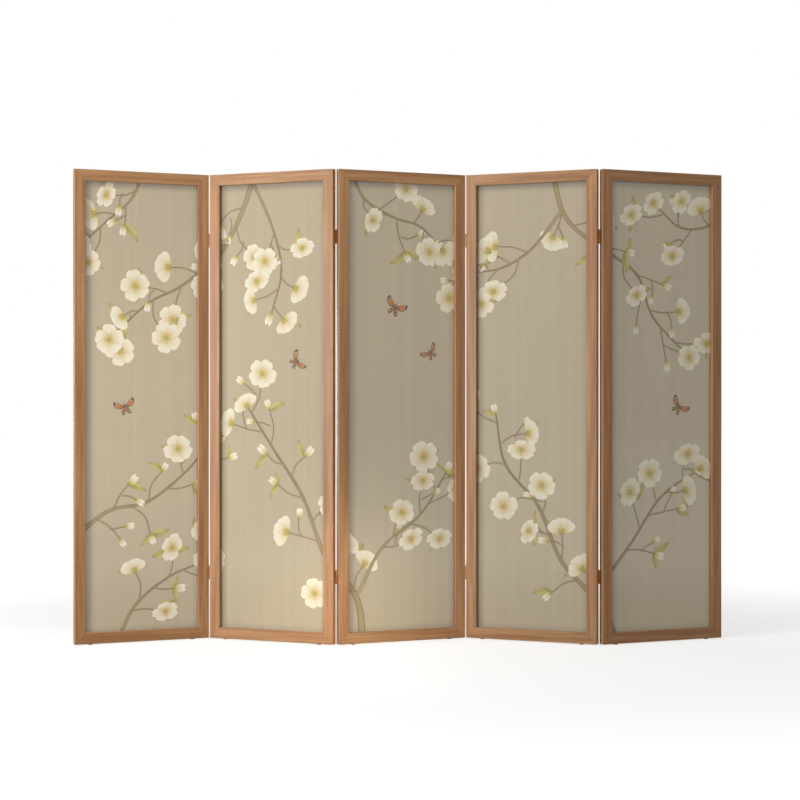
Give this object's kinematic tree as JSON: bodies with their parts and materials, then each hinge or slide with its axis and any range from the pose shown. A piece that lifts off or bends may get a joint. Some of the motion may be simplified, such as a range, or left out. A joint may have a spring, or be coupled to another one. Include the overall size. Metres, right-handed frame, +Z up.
{
  "type": "folding screen",
  "caption": "Free-standing folding screen: mitred wooden leaves with stretched translucent cloth, joined edge to edge by butt hinges so that it stands in a zigzag.",
  "frame": {"origin": "on the floor, under the middle of the third leaf, which is also the middle of the screen's footprint", "axes": "+X along the screen to the right as the picture shows it, -Y towards the viewer, +Z up"},
  "size_m": [2.3482, 0.2202, 1.7],
  "materials": {
    "frame_wood": "clear-lacquered mid-brown hardwood, satin",
    "bead_wood": "clear-lacquered mid-brown hardwood, satin",
    "tenon_wood": "bare beech, glued in",
    "sheer_cloth": "printed semi-sheer plain weave",
    "hinge_metal": "bronze-toned pressed steel, satin",
    "pin_metal": "bronze-toned steel",
    "glide_plastic": "moulded brown nylon"
  },
  "bodies": {
    "panel_1": {"panel_1_left_stile": "frame_wood", "panel_1_right_stile": "frame_wood", "panel_1_top_rail": "frame_wood", "panel_1_bottom_rail": "frame_wood", "panel_1_corner_tenons": "tenon_wood", "panel_1_sheer": "sheer_cloth", "panel_1_beads": "bead_wood", "panel_1_glides": "glide_plastic", "hinge_12_left_leaves": "hinge_metal", "hinge_12_pins": "pin_metal"},
    "panel_2": {"panel_2_left_stile": "frame_wood", "panel_2_right_stile": "frame_wood", "panel_2_top_rail": "frame_wood", "panel_2_bottom_rail": "frame_wood", "panel_2_corner_tenons": "tenon_wood", "panel_2_sheer": "sheer_cloth", "panel_2_beads": "bead_wood", "panel_2_glides": "glide_plastic", "hinge_23_left_leaves": "hinge_metal", "hinge_23_pins": "pin_metal", "hinge_12_right_leaves": "hinge_metal"},
    "panel_3": {"panel_3_left_stile": "frame_wood", "panel_3_right_stile": "frame_wood", "panel_3_top_rail": "frame_wood", "panel_3_bottom_rail": "frame_wood", "panel_3_corner_tenons": "tenon_wood", "panel_3_sheer": "sheer_cloth", "panel_3_beads": "bead_wood", "panel_3_glides": "glide_plastic", "hinge_34_left_leaves": "hinge_metal", "hinge_34_pins": "pin_metal", "hinge_23_right_leaves": "hinge_metal"},
    "panel_4": {"panel_4_left_stile": "frame_wood", "panel_4_right_stile": "frame_wood", "panel_4_top_rail": "frame_wood", "panel_4_bottom_rail": "frame_wood", "panel_4_corner_tenons": "tenon_wood", "panel_4_sheer": "sheer_cloth", "panel_4_beads": "bead_wood", "panel_4_glides": "glide_plastic", "hinge_45_left_leaves": "hinge_metal", "hinge_45_pins": "pin_metal", "hinge_34_right_leaves": "hinge_metal"},
    "panel_5": {"panel_5_left_stile": "frame_wood", "panel_5_right_stile": "frame_wood", "panel_5_top_rail": "frame_wood", "panel_5_bottom_rail": "frame_wood", "panel_5_corner_tenons": "tenon_wood", "panel_5_sheer": "sheer_cloth", "panel_5_beads": "bead_wood", "panel_5_glides": "glide_plastic", "hinge_45_right_leaves": "hinge_metal"}
  },
  "joints": [
    {"name": "fold_23", "type": "hinge", "parent": "panel_3", "child": "panel_2", "pos_m": [-0.23516, -0.08851, 0.85], "axis": [0, 0, 1], "range_deg": [-133, 47]},
    {"name": "fold_12", "type": "hinge", "parent": "panel_2", "child": "panel_1", "pos_m": [-0.70548, 0.08851, 0.85], "axis": [0, 0, -1], "range_deg": [-133, 47]},
    {"name": "fold_34", "type": "hinge", "parent": "panel_3", "child": "panel_4", "pos_m": [0.23516, 0.08851, 0.85], "axis": [0, 0, 1], "range_deg": [-133, 47]},
    {"name": "fold_45", "type": "hinge", "parent": "panel_4", "child": "panel_5", "pos_m": [0.70548, -0.08851, 0.85], "axis": [0, 0, -1], "range_deg": [-133, 47]}
  ],
  "couplings": [
    {"joint": "fold_45", "follows": "fold_34", "ratio": 1}
  ]
}
